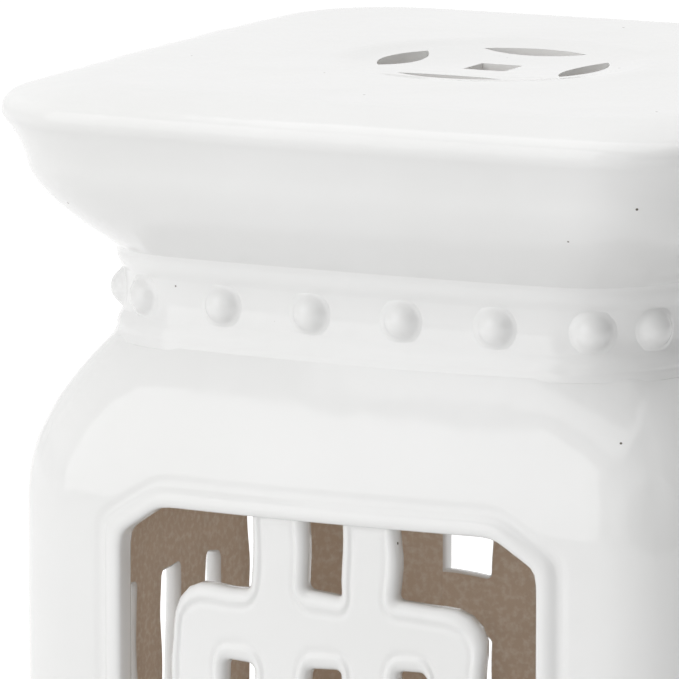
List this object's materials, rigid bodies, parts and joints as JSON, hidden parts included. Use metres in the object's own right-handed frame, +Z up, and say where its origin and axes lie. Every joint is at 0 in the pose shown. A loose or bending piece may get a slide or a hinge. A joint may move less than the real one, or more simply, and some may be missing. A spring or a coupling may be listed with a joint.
{
  "type": "garden stool",
  "caption": "Square glazed ceramic garden stool with a coin-pierced seat, studded collars and fretwork sides.",
  "frame": {"origin": "centre of the foot on the floor, on the stool's upright axis", "axes": "+Z up; -Y out of the front wall; +X to the right as seen from the front"},
  "size_m": [0.295, 0.295, 0.465],
  "materials": {
    "white_glaze": "thick opaque white gloss glaze over earthenware, bare clay inside"
  },
  "bodies": {
    "root": {"seat_cap": "white_glaze", "upper_collar": "white_glaze", "upper_bosses_front": "white_glaze", "upper_bosses_right": "white_glaze", "upper_bosses_back": "white_glaze", "upper_bosses_left": "white_glaze", "front_wall": "white_glaze", "front_fret": "white_glaze", "right_wall": "white_glaze", "right_fret": "white_glaze", "back_wall": "white_glaze", "back_fret": "white_glaze", "left_wall": "white_glaze", "left_fret": "white_glaze", "lower_collar": "white_glaze", "lower_bosses_front": "white_glaze", "lower_bosses_right": "white_glaze", "lower_bosses_back": "white_glaze", "lower_bosses_left": "white_glaze", "base_plinth": "white_glaze"}
  },
  "joints": []
}
